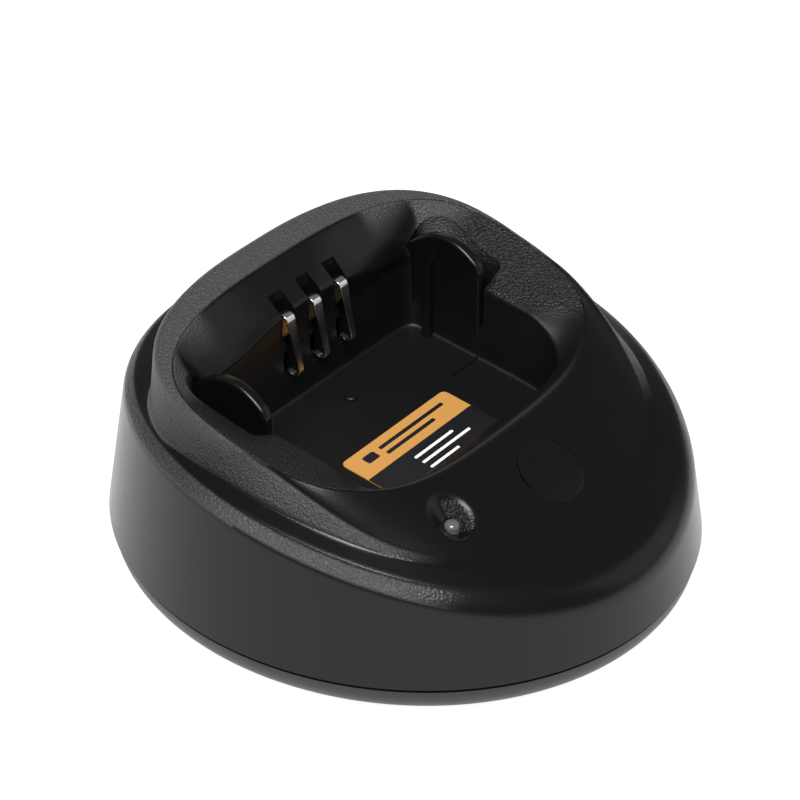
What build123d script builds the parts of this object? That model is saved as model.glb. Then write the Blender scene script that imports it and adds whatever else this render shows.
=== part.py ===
from build123d import *
import math
import os

# Drop-in desk charging cradle for a hand-held portable radio. Millimetres. +Z is up, -Y is the
# front where the round badge sits, +X is the cradle's right side seen from the front. The
# origin is on the table under the centre of the elliptical body.

# ---- driving dimensions -------------------------------------------------------------------
BODY_WIDTH = 113.2        # across the skirt at the seam, X
BODY_LENGTH = 121.8       # front to back of the skirt at the seam, Y
SEAM_Z = 7.4              # lower edge of the top moulding
SKIRT_DRAFT = 9.0         # inward lean of the skirt, degrees
DECK_Z = 34.0             # height of the shoulder at mid-length
DECK_RISE = 3.6           # the deck's climb from shoulder to collar foot
COLLAR_Z = 44.0           # height of the collar's top at mid-length
COLLAR_TILT = 0.26        # rise of the collar's top per millimetre towards the back
CURL, CURL_FROM = 0.0062, 14.0  # how fast the front tongue curls down, and from where
POCKET_WIDTH = 64.0       # straight part of the radio pocket
POCKET_BACK = 24.2        # rear wall of the pocket, Y
POCKET_FRONT = -19.5      # front wall of the pocket, Y
FLOOR_Z = 22.5            # pocket floor at mid-length
FLOOR_TILT = 0.086        # the floor climbs towards the back
FUNNEL_DROP = 20.0        # depth the funnel would reach at the pocket's centre
WALL = 2.2                # moulding wall
SEAM_GAP = 0.7            # shadow line between the two mouldings
PART_GAP = 0.15           # general clearance between parts that drop together
BASE_T = 2.0              # floor of the base cover
BASE_TUCK = 3.6           # the base cover curves in by this much at its foot
FOOT_R, FOOT_H, FOOT_SUNK = 6.0, 2.0, 0.8
CONTACT_PITCH = 8.1
CONTACT_X = 2.0           # the middle contact stands this far right of the centre line
CONTACT_W = 2.3           # blade width at its head
CONTACT_TIP_W = 1.4       # blade width at its lower end
CONTACT_T = 0.3           # blade thickness
BLADE_REACH = 3.2         # how far a blade's lower end stands into the pocket
SLOT_W = 3.8              # slot in the pocket's rear wall
SLOT_BOTTOM = 30.4
HEAD_R = 1.3              # radius of the hook at the top of a blade
FIN_T = 2.4               # guide fin thickness
BADGE_R, BADGE_T = 6.75, 1.0
BADGE_Y = -35.8
LENS_R = 1.5
LENS_STAND = 0.3          # the lens tip above the dimple's bottom
LENS_X, LENS_Y = -24.8, -31.2
DIMPLE_R, DIMPLE_DEPTH = 4.3, 2.6
LABEL_W, LABEL_L, LABEL_T = 32.5, 22.0, 0.3
LABEL_BACK = 4.0          # rear edge of the label, Y
LABEL_X = 1.5             # the label is centred near the middle contact
BOARD_Z, BOARD_T = 10.0, 1.6
BOARD_W, BOARD_FRONT, BOARD_BACK, BOARD_CORNER = 66.0, -38.0, 43.0, 8.0
SCREW_R, SCREW_HEAD_R, SCREW_HEAD_H = 1.5, 2.8, 1.8
BOSS_R = 3.6
BOSS_Z = 8.4              # where the two mouldings' screw bosses meet
SMALL_SCREW_R, SMALL_HEAD_R, SMALL_HEAD_H = 1.1, 2.1, 1.3
EAR_X = 17.5              # carrier screws, each side of the middle contact
POST_R = 2.9
JACK_W, JACK_L, JACK_H = 9.4, 11.6, 10.8
JACK_AXIS = 6.3           # jack bore above the board
JACK_BORE_R = 3.15
JACK_PIN_R = 1.0
PLUG_HOLE_R = 5.6         # plug's way in through the rear wall
PLATE_OUT, PLATE_IN = 58.2, 55.6   # outer and inner faces of the flat inlet wall, Y
PLATE_W, PLATE_L, PLATE_T = 42.0, 24.0, 0.3

# ---- sizes that follow ---------------------------------------------------------------------
A, B = BODY_WIDTH / 2, BODY_LENGTH / 2
LEAN = math.tan(math.radians(SKIRT_DRAFT))
HALF = POCKET_WIDTH / 2
RIM_X = HALF + 12.8                    # mouth of the funnel at the sides
RIM_BACK = POCKET_BACK + 8.1
RIM_FRONT = POCKET_FRONT - 5.3
RIM_Y = 7.0                            # widest station of the mouth
CREST_X = RIM_X + 0.9                  # outer edge of the collar
CREST_BACK = RIM_BACK + 7.4
CREST_FRONT = -0.82 * B
BASE_BOTTOM = FOOT_H - FOOT_SUNK       # underside of the base cover
BASE_TOP = SEAM_Z - SEAM_GAP
BASE_INNER = BASE_BOTTOM + BASE_T
BOARD_TOP = BOARD_Z + BOARD_T
FIN_FRONT, FIN_BACK = POCKET_BACK - 18.4, POCKET_BACK - 0.6
NOTCH_OUT = HALF + 6.4                 # outer wall of the hollow beside a fin
CASE_SCREWS = [(sx * (A - 15.6), -0.4 * B) for sx in (-1, 1)]
CASE_SCREWS += [(sx * (A - 18.6), 0.54 * B) for sx in (-1, 1)]
BOARD_SCREWS = [(-28.0, -21.0), (28.0, -21.0), (-26.5, 34.0), (26.5, 34.0)]
PIVOT_Y, PIVOT_Z = POCKET_BACK + 0.9, POCKET_BACK * COLLAR_TILT + COLLAR_Z - 6.4
CONTACT_XS = [CONTACT_X + k * CONTACT_PITCH for k in (-1, 0, 1)]


def shoulder_z(y):
    """Height of the skirt's top edge: highest a little behind the middle, falling to the front."""
    return DECK_Z + 0.13 * y - 0.0022 * y * y


def deck_z(x, y):
    """Deck: shoulder height plus a rise that grows quickly inside the edge and then levels."""
    lean = LEAN * (shoulder_z(y) - SEAM_Z)
    r = math.hypot(x / (A - lean), y / (B - lean)) - 1
    if r > 0:
        return shoulder_z(y) - DECK_RISE * r / 0.08
    return shoulder_z(y) + DECK_RISE * (1 - math.exp(r / 0.08))


def top_z(x, y):
    """Collar and front tongue: a tilted plane that curls down towards the front."""
    return COLLAR_Z + COLLAR_TILT * y - CURL * max(0.0, -y - CURL_FROM) ** 2


def funnel_z(x, y):
    """Funnel: follows the collar's tilt at its mouth and falls with distance inside it."""
    reach = RIM_BACK - RIM_Y if y > RIM_Y else RIM_Y - RIM_FRONT
    r = (abs(x / RIM_X) ** 2.9 + abs((y - RIM_Y) / reach) ** 2.9) ** (1 / 2.9)
    return COLLAR_Z + COLLAR_TILT * y - FUNNEL_DROP * (1 - r)


def sheet(height, x1, y0, y1, nx, ny):
    """A smooth face through a grid of heights, symmetric about X = 0."""
    rows = []
    for i in range(nx + 1):
        x = -x1 + 2 * x1 * i / nx
        rows.append([(x, y0 + (y1 - y0) * j / ny, height(x, y0 + (y1 - y0) * j / ny))
                     for j in range(ny + 1)])
    return Face.make_surface_from_array_of_points(rows, tol=0.02)


def below(face, depth=90):
    """The solid under a face."""
    return Solid.extrude(face, Vector(0, 0, -depth))


def above(face, depth=60):
    """The solid over a face."""
    return Solid.extrude(face, Vector(0, 0, depth))


def oval(a, b, z):
    """Ellipse wire at height z."""
    return Wire([Edge.make_ellipse(a, b, plane=Plane.XY.offset(z))])


def drafted(a, b, z0, z1):
    """Elliptical body whose wall leans inward by the skirt draft from z0 up to z1."""
    d0, d1 = LEAN * (z0 - SEAM_Z), LEAN * (z1 - SEAM_Z)
    return Solid.make_loft([oval(a - d0, b - d0, z0), oval(a - d1, b - d1, z1)], ruled=True)


def ring(half_x, y_front, y_mid, y_back, n_front, n_back, inset=0.0, count=64):
    """Closed smooth outline: one superellipse half behind y_mid and another in front of it."""
    pts = []
    for i in range(count):
        t = 2 * math.pi * i / count
        c, s = math.cos(t), math.sin(t)
        n = n_back if s >= 0 else n_front
        reach = (y_back - y_mid if s >= 0 else y_mid - y_front) - inset
        x = math.copysign(abs(c) ** (2 / n), c) * (half_x - inset)
        y = math.copysign(abs(s) ** (2 / n), s) * reach + y_mid
        pts.append((x, y))
    return pts


def prism(points, z0, z1):
    """Upright solid over a smooth closed outline."""
    edge = Edge.make_spline([Vector(x, y, z0) for x, y in points], periodic=True)
    return Solid.extrude(Face(Wire([edge])), Vector(0, 0, z1 - z0))


def box(x0, x1, y0, y1, z0, z1):
    """Box between limits."""
    return Pos((x0 + x1) / 2, (y0 + y1) / 2, (z0 + z1) / 2) * Box(x1 - x0, y1 - y0, z1 - z0)


def rod(x, y, z0, z1, r):
    """Upright cylinder."""
    return Pos(x, y, (z0 + z1) / 2) * Cylinder(r, z1 - z0)


def side_slab(points, x0, x1):
    """Solid from a closed outline in the Y-Z plane, carried from x0 to x1."""
    wire = Wire.make_polygon([Vector(x0, y, z) for y, z in points], close=True)
    return Solid.extrude(Face(wire), Vector(x1 - x0, 0, 0))


def over_floor(lift):
    """Everything above the pocket's tilted floor, moved up by lift."""
    def z(y):
        return FLOOR_Z + FLOOR_TILT * y + lift
    return side_slab([(-80, z(-80)), (80, z(80)), (80, 120), (-80, 120)], -80, 80)


def save(node, shape):
    """Write one node."""
    export_step(shape, "parts/" + node + ".step")
    print(node, [round(v, 2) for v in (*shape.bounding_box().min, *shape.bounding_box().max)])


os.makedirs("parts", exist_ok=True)

# ---- top moulding: outside -----------------------------------------------------------------
crest = ring(CREST_X, CREST_FRONT, 8.0, CREST_BACK, 2.5, 2.65)
crest_in = ring(CREST_X, CREST_FRONT, 8.0, CREST_BACK, 2.5, 2.65, inset=WALL)
deck_face = sheet(deck_z, A + 3.4, -B - 3.1, B + 3.1, 30, 32)   # a little past the skirt
top_face = sheet(top_z, A + 3.4, -B - 3.1, B + 3.1, 4, 32)
skirt = drafted(A, B, SEAM_Z, 62) & below(deck_face)
collar = prism(crest, SEAM_Z, 70) & below(top_face) & drafted(A - 1, B - 1, SEAM_Z, 62)
outside = skirt + collar

# ---- top moulding: inside ------------------------------------------------------------------
funnel_face = sheet(funnel_z, A + 1.4, -B - 1.1, B + 1.1, 32, 34)
room = drafted(A - WALL, B - WALL, SEAM_Z - 1, 60) & below(Pos(0, 0, -WALL) * deck_face)
tower = prism(crest_in, SEAM_Z - 1, 68) & below(Pos(0, 0, -WALL) * top_face)
cavity = (room + tower) & below(Pos(0, 0, -WALL * 1.3) * funnel_face)


def rounded_pocket(grow, z0=8.0):
    """Straight radio pocket as an upright prism, grown on every side, rounder in front."""
    w, y0, y1 = HALF + grow, POCKET_FRONT - grow, POCKET_BACK + grow
    rf, rb = 11.0 + grow, 2.0 + grow
    corners = [(w, y0, rf), (w, y1, rb), (-w, y1, rb), (-w, y0, rf)]
    edges, last = [], None
    starts = []
    for k, (cx, cy, r) in enumerate(corners):
        sx, sy = (-1 if cx > 0 else 1), (1 if cy < 0 else -1)
        mid = (cx + sx * r * (1 - math.sqrt(0.5)), cy + sy * r * (1 - math.sqrt(0.5)))
        on_side, on_end = (cx, cy + sy * r), (cx + sx * r, cy)
        starts.append((on_end, mid, on_side) if k in (0, 2) else (on_side, mid, on_end))
    for k, (a, m, b) in enumerate(starts):
        edges.append(Edge.make_three_point_arc(Vector(*a, z0), Vector(*m, z0), Vector(*b, z0)))
        edges.append(Edge.make_line(Vector(*b, z0), Vector(*starts[(k + 1) % 4][0], z0)))
    return Solid.extrude(Face(Wire(edges)), Vector(0, 0, 75 - z0))


well = rounded_pocket(WALL) & over_floor(-WALL)
pods = [box(min(s * (HALF - 1), s * (NOTCH_OUT + WALL)), max(s * (HALF - 1), s * (NOTCH_OUT + WALL)),
            FIN_FRONT - 1 - WALL, FIN_BACK + 1 + WALL, 27, 60) for s in (-1, 1)]
inlet_wall = box(-JACK_W / 2 - 5, JACK_W / 2 + 5, PLATE_IN, B, BOSS_Z + 1.4, BOARD_TOP + JACK_H + 3.4)
bosses = [rod(x, y, BOSS_Z, 60, BOSS_R) for x, y in CASE_SCREWS]
ears = [box(CONTACT_X + s * EAR_X - 3.2, CONTACT_X + s * EAR_X + 3.2, POCKET_BACK + WALL - 0.2, POCKET_BACK + WALL + 1.2,
            PIVOT_Z - 9, PIVOT_Z - 2) for s in (-1, 1)]
inside_body = well + pods + inlet_wall + bosses + ears
housing = (outside - cavity) + (inside_body & (skirt + collar))

# ---- top moulding: pocket, funnel, slots, fins ----------------------------------------------
housing -= rounded_pocket(0) & over_floor(0)
mouth = prism(ring(RIM_X + 1.6, RIM_FRONT - 1.6, RIM_Y, RIM_BACK + 1.6, 2.9, 2.9), 24, 75)
housing -= above(funnel_face) & mouth
inside_mouth = prism(ring(RIM_X - 1.4, RIM_FRONT, RIM_Y, RIM_BACK - 1.6, 2.9, 2.9), 24, 75)
for s in (-1, 1):
    housing -= inside_mouth & box(min(s * (HALF + 0.5), s * NOTCH_OUT),
                                  max(s * (HALF + 0.5), s * NOTCH_OUT),
                                  FIN_FRONT - 1, FIN_BACK + 1, 30, 75)
fin_top = POCKET_BACK + 24.0
fin_outline = [(FIN_FRONT, 26), (FIN_BACK + 2.4, 26), (FIN_BACK + 2.4, fin_top - 3.0),
               (FIN_BACK - 1.6, fin_top - 1.9), (FIN_BACK - 5.0, fin_top - 0.5),
               (FIN_BACK - 8.6, fin_top), (FIN_BACK - 12.0, fin_top - 0.8),
               (FIN_BACK - 15.2, fin_top - 2.4), (FIN_FRONT, fin_top - 4.6)]
for s in (-1, 1):
    x0 = s * (HALF + 0.5) - (0 if s > 0 else FIN_T) - (0.9 * s)
    housing += side_slab(fin_outline, x0, x0 + FIN_T) & over_floor(-1)
for x in CONTACT_XS:
    housing -= box(x - SLOT_W / 2, x + SLOT_W / 2, POCKET_BACK - 1, POCKET_BACK + 3.6,
                   SLOT_BOTTOM, 75)

# ---- top moulding: lens dimple, badge recess, inlet, screw pilots ----------------------------
slope = COLLAR_TILT + 2 * CURL * max(0.0, -BADGE_Y - CURL_FROM)
badge_at = Plane(origin=(0, BADGE_Y, top_z(0, BADGE_Y)), x_dir=(1, 0, 0),
                 z_dir=(0, -slope, 1))
housing -= badge_at.location * (Pos(0, 0, 5 - BADGE_T) * Cylinder(BADGE_R + PART_GAP, 10))
lens_z = max(top_z(LENS_X, LENS_Y), deck_z(LENS_X, LENS_Y))
lens_slope = COLLAR_TILT + 2 * CURL * max(0.0, -LENS_Y - CURL_FROM)
dimple_at = Plane(origin=(LENS_X, LENS_Y, lens_z), x_dir=(1, 0, 0), z_dir=(0, -lens_slope, 1))
flare = (DIMPLE_R - LENS_R) / DIMPLE_DEPTH        # the cone's half-angle as a slope
housing -= dimple_at.location * (Pos(0, 0, 1.0 - DIMPLE_DEPTH / 2) * Cone(
    LENS_R, DIMPLE_R + 2 * flare, DIMPLE_DEPTH + 2))
housing -= rod(LENS_X, LENS_Y, 12, 60, LENS_R + PART_GAP)
housing -= box(-JACK_W / 2 - 2.6, JACK_W / 2 + 2.6, PLATE_OUT, B + 5, BOARD_TOP, BOARD_TOP + JACK_H + 0.8)
jack_z = BOARD_TOP + JACK_AXIS
plug_hole = Pos(0, B - 4, jack_z) * (Rot(90, 0, 0) * Cylinder(PLUG_HOLE_R, 16))
housing -= plug_hole
for x, y in CASE_SCREWS:
    housing -= rod(x, y, BOSS_Z - 1, BOSS_Z + 9, SCREW_R)
for s in (-1, 1):
    housing -= Pos(CONTACT_X + s * EAR_X, POCKET_BACK + WALL + 0.8, PIVOT_Z - 5.5) * (
        Rot(90, 0, 0) * Cylinder(SMALL_SCREW_R, 4.0))
save("top_housing", housing)

# ---- base cover ------------------------------------------------------------------------------
def base_ring(z):
    """Base outline: an elliptical rounding that tucks in towards the table."""
    u = 1 - (z - BASE_BOTTOM) / (BASE_TOP - BASE_BOTTOM)
    d = 0.5 + BASE_TUCK * (1 - math.sqrt(max(0.0, 1 - u * u * 0.94)))
    return oval(A - d, B - d, z)


levels = [BASE_BOTTOM + (BASE_TOP - BASE_BOTTOM) * f for f in (0, 0.08, 0.2, 0.4, 0.65, 1)]
cover = Solid.make_loft([base_ring(z) for z in levels], ruled=True)
lip = WALL + PART_GAP
inner_a, inner_b = A - lip, B - lip
cover += drafted(inner_a, inner_b, BASE_TOP - 2.4, SEAM_Z + 1.8)
cover -= drafted(inner_a - 1.6, inner_b - 1.6, BASE_INNER + 1.6, SEAM_Z + 2)
cover -= Solid.make_loft([oval(A - BASE_TUCK - 3, B - BASE_TUCK - 3, BASE_INNER),
                          oval(inner_a - 1.6, inner_b - 1.6, BASE_INNER + 1.7)], ruled=True)
inner_keep = drafted(inner_a, inner_b, BASE_BOTTOM, SEAM_Z + 3)
for x, y in CASE_SCREWS:
    cover += rod(x, y, BASE_BOTTOM + 0.4, BOSS_Z, BOSS_R + 0.9) & inner_keep
for x, y in BOARD_SCREWS:
    cover += rod(x, y, BASE_BOTTOM + 0.4, BOARD_Z, POST_R)
for x, y in CASE_SCREWS:
    cover -= rod(x, y, BASE_BOTTOM - 2, BOSS_Z - 2.6, SCREW_HEAD_R + 0.4)
    cover -= rod(x, y, 0, BOSS_Z + 2, SCREW_R + PART_GAP)
for x, y in BOARD_SCREWS:
    cover -= rod(x, y, BOARD_Z - 5.5, BOARD_Z + 1, SMALL_SCREW_R)
FEET = [(sx * 0.52 * A, sy * 0.60 * B) for sx in (-1, 1) for sy in (-1, 1)]
for x, y in FEET:
    cover -= rod(x, y, 0, FOOT_H, FOOT_R + PART_GAP)
cover -= box(-PLATE_W / 2 - PART_GAP, PLATE_W / 2 + PART_GAP, -PLATE_L / 2 - PART_GAP,
             PLATE_L / 2 + PART_GAP, 0, BASE_BOTTOM + PLATE_T)
cover -= box(-JACK_W / 2 - 5.4, JACK_W / 2 + 5.4, PLATE_IN - 0.4, B + 2, SEAM_Z, SEAM_Z + 3)
save("base_cover", cover)

feet = [Pos(x, y, FOOT_H / 2) * fillet(Cylinder(FOOT_R, FOOT_H).edges().filter_by(
    lambda e: e.center().Z < 0), 0.6) for x, y in FEET]
save("rubber_feet", Compound(children=feet))
save("rating_plate", box(-PLATE_W / 2, PLATE_W / 2, -PLATE_L / 2, PLATE_L / 2, BASE_BOTTOM,
                         BASE_BOTTOM + PLATE_T))

# ---- screws ----------------------------------------------------------------------------------
def screw(r, length, head_r, head_h):
    """Pan-head screw pointing up +Z with its head's seat at z = 0 and a cross recess."""
    body = Pos(0, 0, length / 2) * Cylinder(r - 0.04, length)
    head = Pos(0, 0, -head_h / 2) * Cylinder(head_r, head_h)
    head = fillet(head.edges().filter_by(lambda e: e.center().Z < -head_h + 0.01), head_h * 0.45)
    recess = Pos(0, 0, -head_h) * (Box(head_r * 1.1, head_r * 0.24, head_h * 0.9)
                                   + Box(head_r * 0.24, head_r * 1.1, head_h * 0.9))
    return body + head - recess


save("case_screws", Compound(children=[
    Pos(x, y, BOSS_Z - 2.6) * screw(SCREW_R, 9.0, SCREW_HEAD_R, SCREW_HEAD_H)
    for x, y in CASE_SCREWS]))
save("board_screws", Compound(children=[
    Pos(x, y, BOARD_TOP) * (Rot(180, 0, 0) * screw(SMALL_SCREW_R, 6.0, SMALL_HEAD_R, SMALL_HEAD_H))
    for x, y in BOARD_SCREWS]))

# ---- contacts --------------------------------------------------------------------------------
def ribbon(points, radius, thick, x0, x1):
    """Thin strip: a centreline in the Y-Z plane with rounded bends, given thickness and width."""
    line = FilletPolyline(*[(y, z) for y, z in points], radius=radius)
    flat = line.wires()[0].offset_2d(thick / 2, kind=Kind.ARC, side=Side.BOTH)
    face = Face(flat)
    solid = Solid.extrude(face, Vector(0, 0, x1 - x0))
    return Plane(origin=(x0, 0, 0), x_dir=(0, 1, 0), z_dir=(1, 0, 0)).location * solid


def blade(x):
    """Contact blade: short rear leg, hooked head, long front leg leaning forward, curled tip."""
    top = PIVOT_Z + HEAD_R
    line = [(PIVOT_Y + HEAD_R, PIVOT_Z - 2.0), (PIVOT_Y + HEAD_R, top), (PIVOT_Y - HEAD_R - 0.06, top),
            (POCKET_BACK - BLADE_REACH, SLOT_BOTTOM + 2.4), (POCKET_BACK - 1.9, SLOT_BOTTOM + 1.3),
            (POCKET_BACK + 0.2, SLOT_BOTTOM + 1.8)]
    solid = ribbon(line, [HEAD_R - 0.02, HEAD_R - 0.02, 0.7, 0.7], CONTACT_T,
                   x - CONTACT_W / 2, x + CONTACT_W / 2)
    w0, w1 = CONTACT_W / 2, CONTACT_TIP_W / 2
    z0, z1, z2 = SLOT_BOTTOM - 1, PIVOT_Z - 5, PIVOT_Z + 5
    outline = Wire.make_polygon([Vector(x - w1, 0, z0), Vector(x - w0, 0, z1), Vector(x - w0, 0, z2),
                                 Vector(x + w0, 0, z2), Vector(x + w0, 0, z1),
                                 Vector(x + w1, 0, z0)], close=True)
    return solid & Solid.extrude(Face(outline), Vector(0, 60, 0))


for name, x in zip(("contact_left", "contact_center", "contact_right"), CONTACT_XS):
    save(name, blade(x))

carrier_y = POCKET_BACK + WALL + 1.2
carrier_back = carrier_y + 5.0
carrier_top = PIVOT_Z - 2.2
TERM_T = 0.8
run_z = PIVOT_Z - 4.4                  # height where the terminals pass through the carrier
term_y = PIVOT_Y + 0.15
terminals = []
for x in CONTACT_XS:
    terminals.append(ribbon([(term_y, PIVOT_Z), (term_y, run_z), (carrier_back + 1.2, run_z),
                             (carrier_back + 1.2, run_z - 4.0)], 0.9, TERM_T, x - 1.1, x + 1.1))
save("contact_terminals", Compound(children=terminals))
CARRIER_W = 2 * CONTACT_PITCH + 9.8
carrier = box(CONTACT_X - CARRIER_W / 2, CONTACT_X + CARRIER_W / 2, carrier_y, carrier_back,
              run_z - 6.0, carrier_top)
carrier += box(CONTACT_X - EAR_X - 3.4, CONTACT_X + EAR_X + 3.4, carrier_y, carrier_y + 2.0,
               PIVOT_Z - 8.6, PIVOT_Z - 2.4)
for x in CONTACT_XS:
    carrier -= box(x - 1.15, x + 1.15, carrier_y - 1, carrier_back + 1, run_z - 0.45, run_z + 0.45)
for s in (-1, 1):
    carrier -= Pos(CONTACT_X + s * EAR_X, carrier_y, PIVOT_Z - 5.5) * (
        Rot(90, 0, 0) * Cylinder(SMALL_SCREW_R + 0.1, 6))
save("contact_carrier", carrier)
save("carrier_screws", Compound(children=[
    Pos(CONTACT_X + s * EAR_X, carrier_y + 2.0, PIVOT_Z - 5.5) * (
        Rot(90, 0, 0) * screw(SMALL_SCREW_R, 4.0, SMALL_HEAD_R, SMALL_HEAD_H))
    for s in (-1, 1)]))

# ---- badge, label, lens ----------------------------------------------------------------------
disc = Pos(0, 0, -BADGE_T / 2) * Cylinder(BADGE_R, BADGE_T)
disc = chamfer(disc.edges().filter_by(lambda e: e.center().Z > -0.01), 0.2)
save("badge_disc", badge_at.location * disc)
label = box(LABEL_X - LABEL_W / 2, LABEL_X + LABEL_W / 2, LABEL_BACK - LABEL_L, LABEL_BACK, 10, 60)
label = fillet([e for e in label.edges().filter_by(Axis.Z)], 2.0)
save("pocket_label", label & over_floor(0) - over_floor(LABEL_T))
pipe_bottom = BOARD_TOP + 2.2
pipe_top = lens_z - DIMPLE_DEPTH + LENS_STAND
pipe = rod(LENS_X, LENS_Y, pipe_bottom, pipe_top, LENS_R)
pipe = fillet(pipe.edges().filter_by(lambda e: e.center().Z > pipe_top - 0.01), 1.4)
save("status_light_pipe", pipe)

# ---- circuit board and what is on it -----------------------------------------------------------
board = box(-BOARD_W / 2, BOARD_W / 2, BOARD_FRONT, BOARD_BACK, BOARD_Z, BOARD_TOP)
board = chamfer(board.edges().filter_by(Axis.Z), BOARD_CORNER)
for x, y in BOARD_SCREWS:
    board -= rod(x, y, BOARD_Z - 1, BOARD_TOP + 1, SMALL_SCREW_R + 0.1)
save("main_board", board)
lamp = rod(LENS_X, LENS_Y, BOARD_TOP, BOARD_TOP + 1.9, 1.5) +     box(LENS_X - 2, LENS_X + 2, LENS_Y - 2, LENS_Y + 2, BOARD_TOP, BOARD_TOP + 0.8)
save("status_led", lamp)

jack_face = PLATE_IN - PART_GAP
jack = box(-JACK_W / 2, JACK_W / 2, jack_face - JACK_L, jack_face, BOARD_TOP, BOARD_TOP + JACK_H)
jack = chamfer(jack.edges().filter_by(Axis.Y).filter_by(lambda e: e.center().Z > jack_z), 1.2)
jack -= Pos(0, jack_face - 4.6, jack_z) * (Rot(90, 0, 0) * Cylinder(JACK_BORE_R, 9.6))
jack -= Pos(0, jack_face - 9, jack_z) * (Rot(90, 0, 0) * Cylinder(JACK_PIN_R, 4.0))
save("dc_inlet", jack)
pin = Pos(0, jack_face - 6.1, jack_z) * (Rot(90, 0, 0) * Cylinder(JACK_PIN_R, 9.8))
save("inlet_center_pin", fillet(pin.edges().filter_by(lambda e: e.center().Y > jack_face - 1.3), 0.5))

def chip(x, y, w, d, h):
    """Chip package with gull-wing legs folded into short feet on two sides."""
    body = chamfer(box(x - w / 2, x + w / 2, y - d / 2, y + d / 2, BOARD_TOP + 0.15,
                       BOARD_TOP + h).edges().filter_by(lambda e: e.center().Z > BOARD_TOP + h - 0.01), 0.3)
    for i in range(8):
        lx = x - w / 2 + w * (i + 0.5) / 8
        body += box(lx - 0.22, lx + 0.22, y - d / 2 - 1.0, y + d / 2 + 1.0, BOARD_TOP, BOARD_TOP + 0.4)
    return body


save("charge_ic", chip(0, -8, 10.2, 7.4, 2.3))
coil = fillet(box(8, 20, 8, 20, BOARD_TOP, BOARD_TOP + 5.6).edges().filter_by(Axis.Z), 2.4)
save("inductor", coil - rod(14, 14, BOARD_TOP + 4.8, BOARD_TOP + 7, 3.6))
def can(x, y):
    """Electrolytic can with a crimp groove near its foot and a rounded top rim."""
    h = 8.2
    body = fillet(rod(x, y, BOARD_TOP, BOARD_TOP + h, 4.0).edges().filter_by(
        lambda e: e.center().Z > BOARD_TOP + h - 0.01), 0.5)
    return body - Pos(x, y, BOARD_TOP + 1.9) * Torus(4.2, 0.45)


save("filter_capacitors", Compound(children=[can(-14, 24), can(-14, 12)]))
tab = box(-29, -22.5, -6, 0.6, BOARD_TOP, BOARD_TOP + 2.3) +     box(-29, -22.5, 0.6, 3.0, BOARD_TOP, BOARD_TOP + 0.6)
save("power_transistor", tab)
save("chip_resistors", Compound(children=[
    box(x - 1, x + 1, y - 0.6, y + 0.6, BOARD_TOP, BOARD_TOP + 0.55)
    for x, y in ((-8, -22), (-4, -22), (0, -22), (4, -22), (8, -22), (-16, -31.6), (12, -6), (16, -6),
                 (12, -10), (16, -10))]))

# ---- leads from the terminals to the board -----------------------------------------------------
HEADER_Y = 38.6
lead_y = carrier_back + 1.2
lead_top = run_z - 4.4 - PART_GAP
header_top = BOARD_TOP + 7.0
header = box(CONTACT_X - CONTACT_PITCH - 3.3, CONTACT_X + CONTACT_PITCH + 3.3, HEADER_Y - 2.6,
             HEADER_Y + 2.6, BOARD_TOP, header_top)
for x in CONTACT_XS:
    header -= rod(x, HEADER_Y, header_top - 3, header_top + 1, 0.8)
save("lead_header", header)


def lead(x):
    """Insulated wire: straight down, one gentle S made of two tangent arcs, straight down."""
    shift = HEADER_Y - lead_y
    mid_z = (lead_top + header_top) / 2
    half_span = min(5.0, (lead_top - header_top) / 2 - 1.0)
    r = (shift * shift / 4 + half_span * half_span) / shift
    a = math.asin(half_span / r)
    p0 = Vector(x, lead_y, lead_top)
    p1 = Vector(x, lead_y, mid_z + half_span)
    m1 = Vector(x, lead_y + r * (1 - math.cos(a / 2)), mid_z + half_span - r * math.sin(a / 2))
    p2 = Vector(x, lead_y + shift / 2, mid_z)
    m2 = Vector(x, HEADER_Y - r * (1 - math.cos(a / 2)), mid_z - half_span + r * math.sin(a / 2))
    p3 = Vector(x, HEADER_Y, mid_z - half_span)
    p4 = Vector(x, HEADER_Y, header_top - 2.8)
    path = Wire([Edge.make_line(p0, p1), Edge.make_three_point_arc(p1, m1, p2),
                 Edge.make_three_point_arc(p2, m2, p3), Edge.make_line(p3, p4)])
    section = Face(Wire([Edge.make_circle(0.7, Plane(origin=p0, z_dir=(0, 0, -1)))]))
    return Solid.sweep(section, path=path)


save("contact_leads", Compound(children=[lead(x) for x in CONTACT_XS]))
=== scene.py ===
# %% [markdown]
# # A drop-in desk charging cradle for a portable radio
# The object is an elliptical black moulding on four rubber feet. A deep pocket takes the foot
# of a radio, and three sprung blades on the pocket's rear wall touch its battery. The measured
# solids arrive as a fixed frame of CAD nodes. This lesson makes the surfaces that show over
# them: the flowing top moulding, its pocket, the base, the blades, the label and the badge.

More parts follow.
